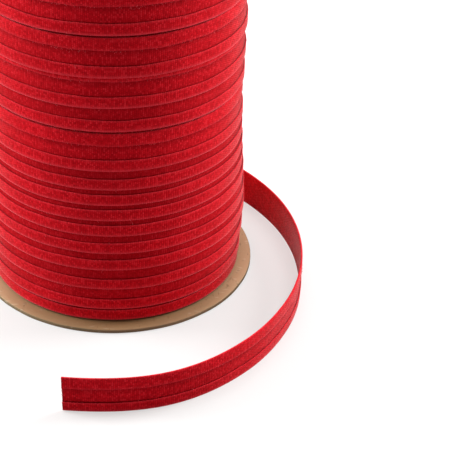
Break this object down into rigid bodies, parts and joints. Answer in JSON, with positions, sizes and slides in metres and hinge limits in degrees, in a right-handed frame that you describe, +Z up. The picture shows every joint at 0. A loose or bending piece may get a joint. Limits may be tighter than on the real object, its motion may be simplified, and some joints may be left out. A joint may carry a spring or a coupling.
{
  "type": "reel of folded-edge binding tape",
  "caption": "Upright paperboard spool wound with red folded-edge woven binding tape, its free end standing on edge beside it; open bore for a spindle.",
  "frame": {"origin": "centre of the lower flange's underside, on the spool's axis", "axes": "+Z up along the spool's axis, towards the upper flange; the tape's cut end lies on the -Y side and its free length bows out on the +X side"},
  "size_m": [0.1604, 0.1972, 0.192],
  "materials": {
    "tape_fabric": "matt solution-dyed canvas, plain weave with a fine cross rib",
    "flange_chipboard": "uncoated kraft-faced chipboard",
    "core_board": "uncoated spiral-wound paperboard"
  },
  "bodies": {
    "root": {"core_tube": "core_board", "lower_flange": "flange_chipboard", "upper_flange": "flange_chipboard", "tape_inner_layers": "tape_fabric", "tape_turn_01": "tape_fabric", "tape_turn_02": "tape_fabric", "tape_turn_03": "tape_fabric", "tape_turn_04": "tape_fabric", "tape_turn_05": "tape_fabric", "tape_turn_06": "tape_fabric", "tape_turn_07": "tape_fabric", "tape_turn_08": "tape_fabric", "tape_turn_09": "tape_fabric", "tape_turn_10": "tape_fabric", "tape_turn_11": "tape_fabric", "tape_turn_12": "tape_fabric", "tape_turn_13": "tape_fabric", "tape_turn_14": "tape_fabric", "tape_turn_15": "tape_fabric", "tape_tail": "tape_fabric"}
  },
  "joints": []
}
